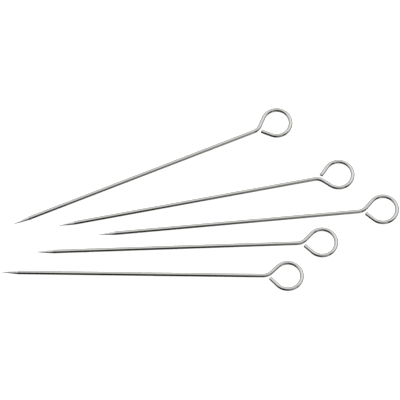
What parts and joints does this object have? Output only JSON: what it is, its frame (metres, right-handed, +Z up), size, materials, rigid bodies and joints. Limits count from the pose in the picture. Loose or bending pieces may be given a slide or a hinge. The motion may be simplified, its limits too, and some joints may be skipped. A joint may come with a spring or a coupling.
{
  "type": "looped wire needles",
  "caption": "Straight needles of bright round steel wire lying in a fan, each ground to a point at one end and bent into an open round loop at the other.",
  "frame": {"origin": "on the surface that the needles lie on, under the middle of the set's bounding box", "axes": "+X from the points towards the loops, +Y across the fan towards needle_1's loop, +Z up from the surface"},
  "size_m": [0.1712, 0.0852, 0.0016],
  "materials": {
    "steel_wire": "polished"
  },
  "bodies": {
    "needle_1": {"needle_1": "steel_wire"},
    "needle_2": {"needle_2": "steel_wire"},
    "needle_3": {"needle_3": "steel_wire"},
    "needle_4": {"needle_4": "steel_wire"},
    "needle_5": {"needle_5": "steel_wire"}
  },
  "joints": [
    {"name": "needle_2_lift", "type": "slide", "parent": "needle_1", "child": "needle_2", "axis": [0, 0, 1], "range_m": [0, 0.06]},
    {"name": "needle_3_lift", "type": "slide", "parent": "needle_1", "child": "needle_3", "axis": [0, 0, 1], "range_m": [0, 0.06]},
    {"name": "needle_4_lift", "type": "slide", "parent": "needle_1", "child": "needle_4", "axis": [0, 0, 1], "range_m": [0, 0.06]},
    {"name": "needle_5_lift", "type": "slide", "parent": "needle_1", "child": "needle_5", "axis": [0, 0, 1], "range_m": [0, 0.06]}
  ]
}
